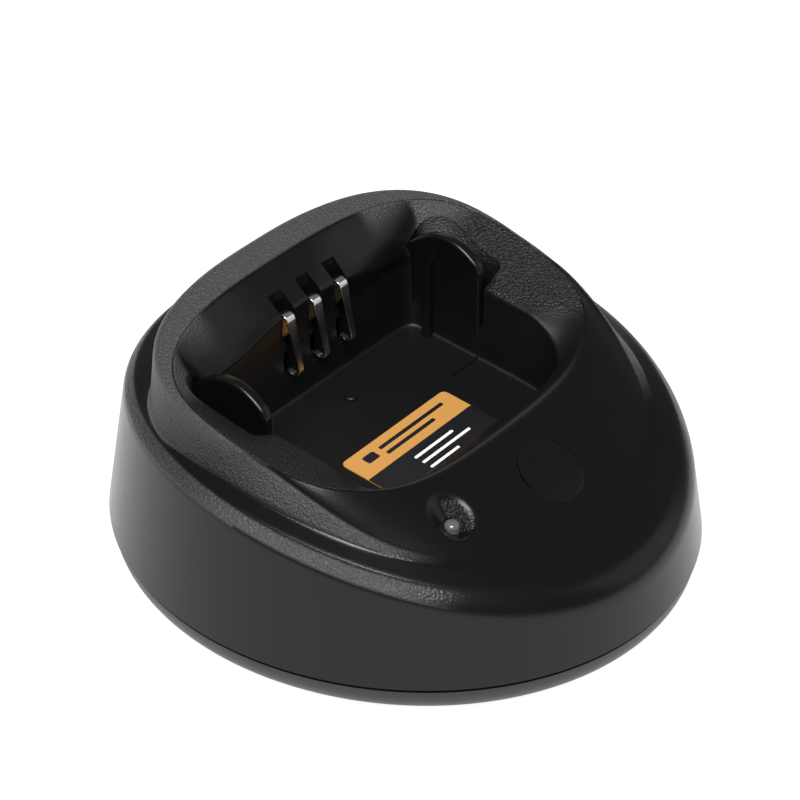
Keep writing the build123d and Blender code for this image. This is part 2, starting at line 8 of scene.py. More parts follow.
# %% Load the frame
import bpy
import bmesh
import numpy as np
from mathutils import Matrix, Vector


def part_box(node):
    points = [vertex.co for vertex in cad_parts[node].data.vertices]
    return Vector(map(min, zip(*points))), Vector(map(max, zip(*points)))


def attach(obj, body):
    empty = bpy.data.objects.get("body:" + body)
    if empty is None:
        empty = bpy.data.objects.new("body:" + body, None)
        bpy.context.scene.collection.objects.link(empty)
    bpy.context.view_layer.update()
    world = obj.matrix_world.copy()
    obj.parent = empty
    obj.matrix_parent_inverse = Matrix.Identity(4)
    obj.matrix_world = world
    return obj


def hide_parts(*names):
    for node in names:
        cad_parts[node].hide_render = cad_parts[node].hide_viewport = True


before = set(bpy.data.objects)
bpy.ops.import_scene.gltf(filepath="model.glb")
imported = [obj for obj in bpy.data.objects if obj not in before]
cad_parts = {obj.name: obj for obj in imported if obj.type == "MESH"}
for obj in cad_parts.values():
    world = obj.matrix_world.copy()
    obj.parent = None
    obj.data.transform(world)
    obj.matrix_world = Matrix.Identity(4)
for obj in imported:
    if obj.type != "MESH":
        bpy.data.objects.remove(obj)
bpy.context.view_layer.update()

MM = 0.001

# %% [markdown]
# ## The moulding's leading sizes
# Every outline of the top moulding is a function of an angle, and every height is a function
# of the place on the table. Keeping those few functions in one cell lets the skirt, deck,
# collar and funnel share their edges, so the moulding closes without any fitting. Sizes are in
# millimetres here and become metres only when a mesh is made.

# %% Leading sizes and height functions
lowest, highest = (np.array(corner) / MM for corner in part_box("top_housing"))
HALF_WIDTH, HALF_LENGTH = highest[0], highest[1]
SEAM_Z = lowest[2]
SKIRT_LEAN = np.tan(np.radians(9.0))
WALL = 2.2
POCKET_HALF, POCKET_BACK, POCKET_FRONT = 32.0, 24.2, -19.5
COLLAR_Z, COLLAR_RISE, CURL, CURL_FROM = 44.0, 0.26, 0.0062, -14.0
FLOOR_Z, FLOOR_RISE, POCKET_MID_Y = 22.5, 0.086, 3.0
TURNS = 576                # columns round the object
# A ring's plan: half width, front, widest station, back, power in front, power behind.
RIM_PLAN = (44.8, -24.8, 7.0, 32.3, 2.9, 2.9)
CREST_PLAN = (45.7, -46.0, 8.0, 39.7, 2.5, 2.65)
VALLEY_PLAN = (46.9, -48.0, 8.0, 41.4, 2.5, 2.6)


def shoulder_height(y):
    """Height of the skirt's upper edge: a shallow parabola, highest behind the middle."""
    return 34.0 + 0.13 * y - 0.0022 * y ** 2


def collar_plane(y):
    """Height of the collar's tilted top, curling down in front of the pocket."""
    return COLLAR_Z + COLLAR_RISE * y - CURL * np.maximum(0.0, CURL_FROM - y) ** 2


def floor_height(y):
    """The pocket's floor climbs gently towards the back."""
    return FLOOR_Z + FLOOR_RISE * y


def smooth(low, high, value):
    """An S-shaped step from 0 at low to 1 at high: 3u^2 - 2u^3 of the clamped share u."""
    u = np.clip((value - low) / (high - low), 0.0, 1.0)
    return u * u * (3 - 2 * u)


def outline(half_x, y_front, y_mid, y_back, n_front, n_back):
    """Superellipse |x/a|^n + |y/b|^n = 1, with its own reach and power before and behind y_mid."""
    turn = np.linspace(0, 2 * np.pi, TURNS, endpoint=False)
    c, s = np.cos(turn), np.sin(turn)
    n = np.where(s >= 0, n_back, n_front)
    reach = np.where(s >= 0, y_back - y_mid, y_mid - y_front)
    x = half_x * np.sign(c) * np.abs(c) ** (2 / n)
    return x, y_mid + reach * np.sign(s) * np.abs(s) ** (2 / n)


def at_height(x, y, z):
    """Stack an outline and its heights into rows of points."""
    return np.stack([x, y, np.broadcast_to(z, x.shape)], axis=1)


# %% [markdown]
# ## The ring corners
# Going outwards from the pocket, the moulding turns a corner at the pocket's floor, at the
# funnel's foot, at the rim, at the collar's crest, in the valley at the collar's foot, at the
# shoulder and at the seam. Each corner is a closed ring of points. The collar stands tallest
# at the back and dies away towards the front, where its crest and valley run together.

# %% Rings of corners, outside surface
rim_x, rim_y = outline(*RIM_PLAN)
rim = at_height(rim_x, rim_y, COLLAR_Z + COLLAR_RISE * rim_y - 0.5 * smooth(-8, -26, rim_y))


def toward_pocket(x, y, grow=0.0):
    """Slide each point along its ray from the pocket's middle onto the pocket's plan.

    The plan is a superellipse of high power, so it has straight sides and tight corners."""
    angle = np.arctan2(y - POCKET_MID_Y, x)
    reach = np.where(np.sin(angle) >= 0, POCKET_BACK - POCKET_MID_Y, POCKET_MID_Y - POCKET_FRONT) + grow
    power = np.where(np.sin(angle) >= 0, 16.0, 5.0)
    far = (np.abs(np.cos(angle) / (POCKET_HALF + grow)) ** power
           + np.abs(np.sin(angle) / reach) ** power) ** (-1 / power)
    return far * np.cos(angle), POCKET_MID_Y + far * np.sin(angle)


lip_x, lip_y = toward_pocket(rim_x, rim_y)
funnel_foot = at_height(lip_x, lip_y, 39.6 + 0.1 * (lip_y - 4.7)
                        + 4.4 * np.exp(-(np.abs(lip_x) / 17) ** 3) * smooth(14, 24, lip_y)
                        - 4.0 * smooth(-6, -19.5, lip_y))
deep_x, deep_y = toward_pocket(rim_x, rim_y, grow=-0.35)
floor_edge = at_height(deep_x, deep_y, floor_height(deep_y))

crest_x, crest_y = outline(*CREST_PLAN)
valley_x, valley_y = outline(*VALLEY_PLAN)
valley = at_height(valley_x, valley_y, shoulder_height(valley_y) + 2.9)
full = collar_plane(crest_y) - valley[:, 2]
crest = at_height(crest_x, crest_y, valley[:, 2] + full * smooth(-36, -4, crest_y)
                  + 0.45 * smooth(-20, -44, crest_y))


def skirt_ring(height, inset=0.0):
    """Ring on the leaning skirt: an ellipse that shrinks with height, found in a few rounds."""
    turn = np.linspace(0, 2 * np.pi, TURNS, endpoint=False)
    z = np.full(TURNS, 34.0)
    for _ in range(6):
        lean = SKIRT_LEAN * (z - SEAM_Z) + inset
        x, y = (HALF_WIDTH - lean) * np.cos(turn), (HALF_LENGTH - lean) * np.sin(turn)
        z = height(y) if callable(height) else np.full(TURNS, float(height))
    return at_height(x, y, z)


shoulder = skirt_ring(lambda y: shoulder_height(y) - 0.5)
deck_edge = skirt_ring(lambda y: shoulder_height(y) + 1.7, 1.9)
seam = skirt_ring(SEAM_Z)
print("collar stands up to", round(float((crest - valley)[:, 2].max()), 1), "mm above its foot")

# %% [markdown]
# ## Rounding a profile
# A moulding has no knife edges: the tool is polished and the plastic draws round its corners.
# Each ray of the profile is a broken line through the ring corners. Every corner is swapped
# for a parabola that leaves one leg and joins the next smoothly, a curve made from three
# points. Doing this for whole rings at once gives one grid of points, rows outwards and
# columns round the object.

# %% Rounded profiles as one grid
def rounded_rows(corners, radii, steps, bend=7):
    """Rows of a surface through rings of corners with rounded bends.

    corners: rings in order. radii: how far each inner corner's curve reaches along its legs, one
    number or one per column. steps: rows on the straight run before each ring. A bend is the
    parabola (1-u)^2 p + 2u(1-u) q + u^2 r between the legs' points p and r with the corner q."""
    rings = [np.asarray(c, float) for c in corners]
    leave = rings[0]
    rows = [leave]
    for k in range(1, len(rings)):
        here = rings[k]
        if k == len(rings) - 1:
            arrive = here
        else:
            back, ahead = rings[k - 1] - here, rings[k + 1] - here
            len_back = np.linalg.norm(back, axis=1, keepdims=True)
            len_ahead = np.linalg.norm(ahead, axis=1, keepdims=True)
            reach = np.broadcast_to(np.asarray(radii[k], float), (len(here),))[:, None]
            cut = np.minimum(reach, 0.49 * np.minimum(len_back, len_ahead))
            arrive = here + back / np.maximum(len_back, 1e-9) * cut
        for u in np.linspace(0, 1, steps[k] + 1)[1:]:
            rows.append(leave + (arrive - leave) * u)
        if k < len(rings) - 1:
            depart = here + ahead / np.maximum(len_ahead, 1e-9) * cut
            for u in np.linspace(0, 1, bend + 1)[1:]:
                rows.append((1 - u) ** 2 * arrive + 2 * u * (1 - u) * here + u ** 2 * depart)
            leave = depart
    return np.stack(rows)


def closed_shell(name, rows, start, end):
    """Mesh from rows of rings, closed by a point before the first row and one after the last."""
    n_rows, n_cols = rows.shape[:2]
    points = np.concatenate([rows.reshape(-1, 3), [start], [end]]) * MM
    i, j = np.meshgrid(np.arange(n_rows - 1), np.arange(n_cols), indexing="ij")
    k = (j + 1) % n_cols
    quads = np.stack([i * n_cols + j, (i + 1) * n_cols + j, (i + 1) * n_cols + k,
                      i * n_cols + k], axis=-1).reshape(-1, 4)
    col = np.arange(n_cols)
    first, last = n_rows * n_cols, n_rows * n_cols + 1
    cap_a = np.stack([np.full(n_cols, first), col, (col + 1) % n_cols], axis=1)
    base = (n_rows - 1) * n_cols
    cap_b = np.stack([np.full(n_cols, last), base + (col + 1) % n_cols, base + col], axis=1)
    mesh = bpy.data.meshes.new(name)
    mesh.from_pydata(points.tolist(), [], quads.tolist() + cap_a.tolist() + cap_b.tolist())
    mesh.update()
    piece = bpy.data.objects.new(name, mesh)
    bpy.context.scene.collection.objects.link(piece)
    return piece


# %% [markdown]
# ## The top moulding
# Outside, the rows run from the middle of the pocket's floor up its wall, over the funnel and
# the collar, down the skirt and round the seam. Inside, they come back under everything one
# wall thickness away. Both halves share their first and last rings, so the shell is closed.

# %% Build the top moulding's shell
FLOOR_MIDDLE = np.array([0, POCKET_MID_Y, 22.76])
front = smooth(-30, -45, crest_y)
rear = smooth(12, 30, crest_y)
outside = rounded_rows(
    [floor_edge + (FLOOR_MIDDLE - floor_edge) * 0.9, floor_edge, funnel_foot, rim,
     crest, valley, deck_edge, shoulder, seam],
    [0, 0.9, 0.7, 0.7 + 1.5 * front, 1.0 + 14 * front + 2.6 * rear, 1.1 + 14 * front,
     1.1 + 2 * front, 1.6 + 2 * front, 0],
    [0, 22, 16, 16, 48, 14, 8, 4, 26])
crest_in = np.stack(outline(43.4, -42.5, 8.0, 37.2, 2.5, 2.65), axis=1)
peak = at_height(crest_in[:, 0], crest_in[:, 1], np.minimum(
    collar_plane(crest_in[:, 1]) - 3.4, shoulder_height(crest_in[:, 1]) + 4.2 + 5 * smooth(
        -10, 20, crest_in[:, 1])))
valley_in = at_height(*outline(44.6, -45.0, 8.0, 39.0, 2.5, 2.6), 0.0)
valley_in[:, 2] = shoulder_height(valley_in[:, 1]) + 0.9
under_x, under_y = toward_pocket(rim_x, rim_y, grow=WALL)
inside = rounded_rows(
    [seam + [0, 0, 0.001], skirt_ring(SEAM_Z, WALL), skirt_ring(
        lambda y: shoulder_height(y) - 2.6, WALL), valley_in, peak,
     at_height(under_x, under_y, funnel_foot[:, 2] - 3.4),
     at_height(under_x, under_y, floor_height(under_y) - WALL)],
    [0, 0.1, 2, 1, 1, 1, 0], [0, 1, 8, 3, 4, 6, 4], bend=2)
moulding = closed_shell("cradle_moulding", np.concatenate([outside, inside[1:]]),
                        FLOOR_MIDDLE, FLOOR_MIDDLE - [0, 0, WALL])
print("moulding:", len(moulding.data.vertices), "points")

# %% [markdown]
# ## Cutters
# Slots, side hollows, the badge's seat, the lens dimple and the power inlet's window are cut
# by closed bodies taken away from the shell, just as inserts in the mould leave them out of
# the plastic. One exact difference with all the cutters together keeps every cut edge sharp.

# %% Bodies for cutting
def block(low, high):
    """Eight corners and six faces of a box between two corners, in millimetres."""
    (x0, y0, z0), (x1, y1, z1) = low, high
    points = np.array([[x, y, z] for z in (z0, z1) for y in (y0, y1) for x in (x0, x1)], float)
    faces = [(0, 2, 3, 1), (4, 5, 7, 6), (0, 1, 5, 4), (2, 6, 7, 3), (0, 4, 6, 2), (1, 3, 7, 5)]
    return points, faces


def turned(profile, centre, axis, sides=96):
    """Solid of revolution: pairs of radius and distance along an axis, closed at both ends."""
    axis = np.asarray(axis, float) / np.linalg.norm(axis)
    aside = np.cross(axis, [1.0, 0.0, 0.0])
    aside /= np.linalg.norm(aside)
    across = np.cross(axis, aside)
    turn = np.linspace(0, 2 * np.pi, sides, endpoint=False)
    wheel = np.cos(turn)[:, None] * aside + np.sin(turn)[:, None] * across
    rows = np.stack([centre + wheel * r + axis * d for r, d in profile])
    n = len(profile)
    i, j = np.meshgrid(np.arange(n - 1), np.arange(sides), indexing="ij")
    k = (j + 1) % sides
    quads = np.stack([i * sides + j, i * sides + k, (i + 1) * sides + k,
                      (i + 1) * sides + j], axis=-1).reshape(-1, 4)
    faces = [tuple(q) for q in quads.tolist()]
    faces.append(tuple(range(sides))[::-1])
    faces.append(tuple(range((n - 1) * sides, n * sides)))
    return rows.reshape(-1, 3), faces


def body(name, *solids):
    """One mesh object holding several closed solids, normals turned outwards."""
    points, faces, start = [], [], 0
    for p, f in solids:
        points.append(p)
        faces += [tuple(v + start for v in face) for face in f]
        start += len(p)
    mesh = bpy.data.meshes.new(name)
    mesh.from_pydata((np.concatenate(points) * MM).tolist(), [], faces)
    work = bmesh.new()
    work.from_mesh(mesh)
    bmesh.ops.recalc_face_normals(work, faces=work.faces)
    work.to_mesh(mesh)
    work.free()
    piece = bpy.data.objects.new(name, mesh)
    bpy.context.scene.collection.objects.link(piece)
    return piece


def boolean(target, tool, operation):
    """Apply an exact boolean to the target's mesh and throw the tool away."""
    mod = target.modifiers.new("cut", "BOOLEAN")
    mod.object, mod.operation, mod.solver = tool, operation, "EXACT"
    graph = bpy.context.evaluated_depsgraph_get()
    result = bpy.data.meshes.new_from_object(target.evaluated_get(graph))
    target.modifiers.clear()
    old, target.data = target.data, result
    bpy.data.meshes.remove(old)
    bpy.data.objects.remove(tool)
    print(operation.lower(), "->", len(target.data.polygons), "faces")


# %% [markdown]
# ## Fins, hollows, slots and the power inlet
# At each rear corner an arched fin guides the radio, with a hollow behind it that keeps the
# plastic thin. A fin is an outline in the side plane given a thickness, and its edges are
# bevelled before it joins the moulding. The slots leave room for the blades to bend back.

# %% Cut and add
def slanted(x0, x1, y0, y1, z0, z_near, z_far):
    """A block whose top climbs from z_near at x0 to z_far at x1."""
    points, faces = block((min(x0, x1), y0, z0), (max(x0, x1), y1, z_near))
    share = (points[4:, 0] - x0) / (x1 - x0)
    points[4:, 2] = z_near + (z_far - z_near) * share
    return points, faces


def side_plate(outline_yz, x0, x1):
    """A flat plate: a closed outline in the Y-Z plane carried from x0 to x1."""
    ring = np.asarray(outline_yz, float)
    n = len(ring)
    points = np.concatenate([np.column_stack([np.full(n, x), ring]) for x in (x0, x1)])
    faces = [tuple(range(n)), tuple(range(2 * n - 1, n - 1, -1))]
    faces += [(k, k + n, (k + 1) % n + n, (k + 1) % n) for k in range(n)]
    return points, faces


def bevel(piece, width, segments=3, angle=40):
    """Round the edges sharper than an angle."""
    mod = piece.modifiers.new("rounded", "BEVEL")
    mod.width, mod.segments, mod.limit_method = width * MM, segments, "ANGLE"
    mod.angle_limit, mod.harden_normals = np.radians(angle), False


def pit(side):
    """Hollow beside a fin: a plan with a round rear corner, flaring out near the funnel."""
    turn = np.linspace(0, np.pi / 2, 9)
    plan = [(31.0, FIN_FRONT - 0.9), (HOLLOW_OUT - 1.6, FIN_FRONT - 0.9)]
    plan += [(HOLLOW_OUT - 1.6 + 1.6 * np.sin(a), FIN_FRONT + 0.7 - 1.6 * np.cos(a)) for a in turn[1:]]
    plan += [(HOLLOW_OUT - 5.5 + 5.5 * np.cos(a), FIN_BACK - 4.9 + 5.5 * np.sin(a)) for a in turn]
    plan = np.array(plan + [(31.0, FIN_BACK + 0.6)])
    middle = np.array([33.0, 15.0])
    rings = []
    for z, grow in ((30, 0), (41.5, 0), (43.0, 0.3), (44.5, 0.9), (46.0, 1.8), (60, 1.8)):
        out = plan.copy()
        away = plan - middle
        step = away / np.linalg.norm(away, axis=1, keepdims=True) * grow
        out[:, 0] = np.where(plan[:, 0] > 34, plan[:, 0] + step[:, 0], plan[:, 0])
        rings.append(np.column_stack([side * out[:, 0], out[:, 1], np.full(len(out), float(z))]))
    n, m = len(rings), len(plan)
    faces = [(i * m + j, i * m + (j + 1) % m, (i + 1) * m + (j + 1) % m, (i + 1) * m + j)
             for i in range(n - 1) for j in range(m)]
    faces += [tuple(range(m))[::-1], tuple(range((n - 1) * m, n * m))]
    return np.concatenate(rings), faces


HOLLOW_OUT, FIN_FRONT, FIN_BACK = POCKET_HALF + 6.4, POCKET_BACK - 18.4, POCKET_BACK - 0.6
FIN_IN, FIN_THICK, FIN_TOP, RIB_IN = 31.6, 2.4, 48.2, 29.4
pods = [slanted(s * 32.6, s * (HOLLOW_OUT + WALL), FIN_FRONT - 3.2, FIN_BACK + 3.2, 27.8, 39.2, 41.4)
        for s in (-1, 1)]
inlet_block = block((-9.7, 55.6, 9.8), (9.7, 58.9, 25.8))
boolean(moulding, body("pods", *pods, inlet_block), "UNION")

blade_boxes = [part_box(n) for n in ("contact_left", "contact_center", "contact_right")]
blade_x = [(low[0] + high[0]) / 2 / MM for low, high in blade_boxes]
SLOT_HALF, SLOT_FOOT = 1.9, 30.4
cuts = [block((x - SLOT_HALF, POCKET_BACK - 1.6, SLOT_FOOT), (x + SLOT_HALF, POCKET_BACK + 3.6, 60))
        for x in blade_x]
cuts += [pit(s) for s in (-1, 1)]
BADGE_Y, BADGE_R, BADGE_GAP = -35.8, 6.75, 0.22
BADGE_AT = np.array([0.0, BADGE_Y, collar_plane(BADGE_Y)])
BADGE_TILT = np.array([0.0, -(COLLAR_RISE + 2 * CURL * (CURL_FROM - BADGE_Y)), 1.0])
cuts.append(turned([(BADGE_R + BADGE_GAP, -1.0), (BADGE_R + BADGE_GAP, 6.0)], BADGE_AT, BADGE_TILT))
lens_low, lens_high = (np.array(c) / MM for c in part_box("status_light_pipe"))
LENS_HOLE_R, PLUG_HOLE_R, JACK_AXIS = 1.62, 5.6, 6.3
LENS_X, LENS_Y = (lens_low + lens_high)[:2] / 2
cuts.append(turned([(LENS_HOLE_R, -30.0), (LENS_HOLE_R, 20.0)], np.array([LENS_X, LENS_Y, 33.0]),
                   [0, 0, 1.0], 48))
jack_low, jack_high = (np.array(c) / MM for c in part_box("dc_inlet"))
JACK_Z = jack_low[2] + JACK_AXIS
cuts.append(block((-7.3, 58.2, jack_low[2]), (7.3, 66.0, jack_high[2] + 0.8)))
boolean(moulding, body("cutters", *cuts), "DIFFERENCE")
plug_hole = turned([(PLUG_HOLE_R, -8.0), (PLUG_HOLE_R, 8.0)], np.array([0, 60.0, JACK_Z]), [0, 1.0, 0])
boolean(moulding, body("plug_hole", plug_hole), "DIFFERENCE")

arch_y = np.linspace(FIN_FRONT + 0.8, FIN_BACK + 2.4, 25)
arch_z = FIN_TOP - 0.053 * (arch_y - 15.0) ** 2
arch = ([(FIN_FRONT, 26.0), (FIN_FRONT, 42.2), (FIN_FRONT + 0.2, 43.3)] + list(zip(arch_y, arch_z))
        + [(arch_y[-1], 26.0)])
fins = body("fins", *[side_plate(arch, s * FIN_IN, s * (FIN_IN + FIN_THICK)) for s in (-1, 1)])
bevel(fins, 0.7)
boolean(moulding, fins, "UNION")
rib_points, rib_faces = block((RIB_IN, 17.2, 24.0), (32.4, 18.9, 40.8))
rib_points[4:, 2] = np.where(rib_points[4:, 0] > 31.5, 45.9, 40.8)
rib = body("rib", (rib_points, rib_faces))
bevel(rib, 0.25)
boolean(moulding, rib, "UNION")
pip = turned([(1.3, -1), (1.3, 0.5), (1.1, 0.7)], np.array([3, 16, floor_height(16)]), [0, 0, 1.0], 32)
ridge = block((22.5, 5.5, 21), (31.8, 6.1, floor_height(6) + 0.35))
boolean(moulding, body("floor_marks", pip, ridge), "UNION")

# %% [markdown]
# ## Where the leather grain lies
# The tool maker etched a fine leather grain on the collar's slope, on the band behind the
# pocket, on the sides of the funnel and along the shoulder, and left the rest smooth. A number
# on every point, 1 where grained and 0 where smooth, lets one material do both. A second number
# lays a grey on the grain: partly the grain's own duller tone, partly a painted highlight that is
# stronger where the light catches the slope, a patch of the funnel and the shoulder. Both are
# worked out from each point's place against the outlines that shaped the moulding.

# %% Grain mask
def ring_level(x, y, half_x, y_front, y_mid, y_back, n_front, n_back):
    """1 on an outline, less inside, more outside: the superellipse sum to the power 1/n."""
    n = np.where(y >= y_mid, n_back, n_front)
    reach = np.where(y >= y_mid, y_back - y_mid, y_mid - y_front)
    return (np.abs(x / half_x) ** n + np.abs((y - y_mid) / reach) ** n) ** (1 / n)


def grain_share(p):
    """Grain, grey grain with painted highlight, and pocket depth of a point, each 0 to 1, from its
    place in mm.
    """
    x, y, z = p.T
    on_crest, on_rim = ring_level(x, y, *CREST_PLAN), ring_level(x, y, *RIM_PLAN)
    lean = SKIRT_LEAN * (shoulder_height(y) - SEAM_Z)
    on_edge = np.hypot(x / (HALF_WIDTH - lean), y / (HALF_LENGTH - lean))
    fade = smooth(-37, -24, y)
    slope = smooth(0.985, 1.0, on_crest) * (1 - smooth(1.022, 1.034, on_crest)) * fade
    band = smooth(1.0, 1.01, on_rim) * (1 - smooth(0.99, 1.03, on_crest)) * smooth(-6, 6, y)
    funnel = ((on_rim < 1.0) * smooth(21, 27, np.abs(x)) * smooth(-20, -12, y)
              * smooth(38.0, 40.5, z) * smooth(31.6, 33.0, np.abs(x)))
    funnel = np.maximum(funnel, (on_rim < 1.0) * smooth(22, 27, np.abs(x)) * smooth(24.4, 26.0, y))
    shoulder_line = smooth(0.957, 0.968, on_edge) * smooth(-44, -30, y) * (
        z > shoulder_height(y) - 0.8)
    funnel *= 1 - (1 - smooth(34.4, 36.5, np.abs(x))) * smooth(3, 5.5, y) * (1 - smooth(25.5, 30, y))
    # Painted highlight: the grey tint is laid on more strongly where the light catches the collar's
    # slope, on a patch of the funnel's rear and along the shoulder.
    lit = slope * (1 - 0.65 * smooth(-10, 10, y)) + slope * 0.4 * smooth(20, 34, y)
    lit_patch = funnel * smooth(14, 22, y)
    inside = (on_rim < 0.99) & (z < 39.3) & (z > 20)
    return (np.clip(np.maximum.reduce([slope, band, 0.8 * funnel, 0.8 * shoulder_line]), 0, 1),
            np.clip(np.maximum.reduce([lit, band, 0.12 * funnel, lit_patch, shoulder_line * (
                1 - 0.6 * smooth(-5, 15, y))]), 0, 1), inside * 1.0)


def finish_mesh(piece, material, angle=35):
    """Smooth shading broken at sharp edges, and one material."""
    mesh = piece.data
    mesh.materials.clear()
    mesh.materials.append(material)
    mesh.polygons.foreach_set("use_smooth", np.ones(len(mesh.polygons), bool))
    mesh.set_sharp_from_angle(angle=np.radians(angle))


def points_of(mesh):
    """All of a mesh's points in millimetres as rows."""
    flat = np.empty(len(mesh.vertices) * 3)
    mesh.vertices.foreach_get("co", flat)
    return flat.reshape(-1, 3) / MM


# %% [markdown]
# ## The lens dimple
# The indicator sits at the bottom of a shallow dish. Pressing the dish into the shell with a
# smooth function of distance gives it the soft lip that a cut could not.

# %% Dimple
def dish(p, depth=2.6, radius=4.9):
    """Lower points near the lens: depth times a smooth fall with distance from its axis."""
    away = np.hypot(p[:, 0] - LENS_X, (p[:, 1] - LENS_Y) * 0.96)
    top = (p[:, 2] > 28) & (away < radius)
    p[:, 2] -= np.where(top, depth * (1 - smooth(0.9, radius, away)), 0)
    return p


shell_points = dish(points_of(moulding.data))
moulding.data.vertices.foreach_set("co", (shell_points * MM).ravel())
grain, grain_grey_and_highlight, deep = grain_share(shell_points)
away = np.hypot(shell_points[:, 0] - LENS_X, shell_points[:, 1] - LENS_Y)
grain = np.maximum(grain, 0.9 * (away < 4.4) * smooth(LENS_X + 0.3, LENS_X + 1.5, shell_points[:, 0])
                   * smooth(3.9, 3.0, away) * (shell_points[:, 2] > 26))
# The second attribute carries the grain's grey tone together with a painted highlight.
for label, value in (("grain", grain), ("grain_grey_and_highlight", grain_grey_and_highlight), ("deep", deep)):
    moulding.data.attributes.new(label, "FLOAT", "POINT").data.foreach_set("value", value)
print("grained share of points:", round(float((grain > 0.5).mean()), 3))

# %% [markdown]
# ## Materials
# Black ABS is never quite black: its surface mirrors the room faintly, more at a glancing
# angle, and a fine unevenness breaks the mirror up. The grain is a cell pattern crossed by a
# finer noise, pressed into the surface with a bump that the grain mask turns up and down.
# Every other material follows the same plan: a colour with a little variation, a roughness
# with a little variation, and a bump at the scale of the real surface.

# %% Node helpers
def new_material(name, colour, rough, metallic=0.0, specular=0.5):
    """Principled material with its plain values set, and the handles needed to go on."""
    mat = bpy.data.materials.new(name)
    mat.use_nodes = True
    tree = mat.node_tree
    shader = tree.nodes["Principled BSDF"]
    shader.inputs["Base Color"].default_value = (*colour, 1.0)
    shader.inputs["Roughness"].default_value = rough
    shader.inputs["Metallic"].default_value = metallic
    shader.inputs["Specular IOR Level"].default_value = specular
    return mat, tree, shader


def node(tree, kind, **values):
    """Add a node; keyword names with a leading i_ set inputs, the rest set properties."""
    made = tree.nodes.new(kind)
    for key, value in values.items():
        if key.startswith("i_"):
            made.inputs[key[2:].replace("_", " ")].default_value = value
        else:
            setattr(made, key, value)
    return made


def math(tree, operation, a, b):
    """Math node between sockets or numbers."""
    made = node(tree, "ShaderNodeMath", operation=operation)
    for slot, value in zip(made.inputs, (a, b)):
        if isinstance(value, (int, float)):
            slot.default_value = value
        else:
            tree.links.new(value, slot)
    return made.outputs[0]


def spread(tree, value, low, high):
    """Map a 0 to 1 pattern onto low to high."""
    made = node(tree, "ShaderNodeMapRange", i_To_Min=low, i_To_Max=high)
    tree.links.new(value, made.inputs["Value"])
    return made.outputs["Result"]


def noise(tree, size_mm, detail=3.0, rough=0.55, distortion=0.0):
    """Noise whose blobs are about size_mm across, on Object coordinates."""
    coords = node(tree, "ShaderNodeTexCoord")
    made = node(tree, "ShaderNodeTexNoise", i_Scale=1 / (size_mm * MM), i_Detail=detail,
                i_Roughness=rough, i_Distortion=distortion)
    tree.links.new(coords.outputs["Object"], made.inputs["Vector"])
    return made.outputs["Fac"]


def cells(tree, size_mm, smoothness):
    """Soft cell pattern with cells about size_mm across, on Object coordinates."""
    coords = node(tree, "ShaderNodeTexCoord")
    made = node(tree, "ShaderNodeTexVoronoi", feature="SMOOTH_F1", i_Scale=1 / (size_mm * MM),
                i_Smoothness=smoothness)
    tree.links.new(coords.outputs["Object"], made.inputs["Vector"])
    return made.outputs["Distance"]


def press(tree, shader, height, depth_mm, strength=1.0):
    """Bump the shader by a height pattern of a given depth."""
    bump = node(tree, "ShaderNodeBump", i_Distance=depth_mm * MM, i_Strength=strength)
    tree.links.new(height, bump.inputs["Height"])
    tree.links.new(bump.outputs["Normal"], shader.inputs["Normal"])


def moulded_plastic(name, colour, rough, specular=0.5, pore_mm=0.35, depth_mm=0.004):
    """Plain moulded plastic: faint orange peel and a small wander in gloss."""
    mat, tree, shader = new_material(name, colour, rough, specular=specular)
    tree.links.new(spread(tree, noise(tree, 6.0), rough - 0.04, rough + 0.04),
                   shader.inputs["Roughness"])
    press(tree, shader, noise(tree, pore_mm), depth_mm, 0.5)
    return mat


def grained_plastic(name, colour, grain_highlight_colour, smooth_rough, grain_rough):
    """Black plastic, satin where smooth and leather-grained where the mask says so, with a grey painted
    on by a second mask as the grain's tone and highlight.
    """
    mat, tree, shader = new_material(name, colour, smooth_rough, specular=0.3)
    mask = node(tree, "ShaderNodeAttribute", attribute_name="grain").outputs["Fac"]
    # Painted highlight: a second mask mixes the black with a grey, partly the grain's own tone and
    # partly where light catches it.
    blend = node(tree, "ShaderNodeMix", data_type="RGBA")
    grain_grey_and_highlight = node(tree, "ShaderNodeAttribute", attribute_name="grain_grey_and_highlight").outputs["Fac"]
    deep = node(tree, "ShaderNodeAttribute", attribute_name="deep").outputs["Fac"]
    tree.links.new(grain_grey_and_highlight, blend.inputs[0])
    blend.inputs[6].default_value = (*colour, 1.0)
    blend.inputs[7].default_value = (*grain_highlight_colour, 1.0)
    tree.links.new(blend.outputs[2], shader.inputs["Base Color"])
    pebbles = cells(tree, 0.55, 0.25)
    creases = noise(tree, 0.3, detail=2.0, distortion=0.6)
    wander = noise(tree, 9.0)
    leather = math(tree, "ADD", math(tree, "MULTIPLY", pebbles, 0.7), math(
        tree, "MULTIPLY", creases, 0.6))
    peel = math(tree, "MULTIPLY", noise(tree, 0.45, detail=1.0), 0.04)
    height = math(tree, "ADD", math(tree, "MULTIPLY", leather, mask), peel)
    press(tree, shader, height, 0.5, 1.0)
    gloss = math(tree, "ADD", spread(tree, mask, smooth_rough, grain_rough),
                 spread(tree, wander, -0.03, 0.03))
    gloss = math(tree, "ADD", gloss, math(tree, "MULTIPLY", deep, 0.2))
    tree.links.new(gloss, shader.inputs["Roughness"])
    return mat


def metal(name, colour, rough, scratch_mm=0.05):
    """Bright metal with a faint drawn grain."""
    mat, tree, shader = new_material(name, colour, rough, metallic=1.0)
    fine = noise(tree, scratch_mm * 8, detail=4.0)
    tree.links.new(spread(tree, fine, rough * 0.7, rough * 1.5), shader.inputs["Roughness"])
    press(tree, shader, fine, 0.004, 0.4)
    return mat


# %% [markdown]
# ## One finish for each real material
# The moulding and the badge are the same glossy black plastic, the base is a duller one, the
# contacts are bright nickel over spring metal, and the parts inside take the colours that such
# parts have: a green board, black epoxy, zinc screws, red leads. The leather-grained plastic is
# given to the moulding here, because it is the one that reads the mask made above.

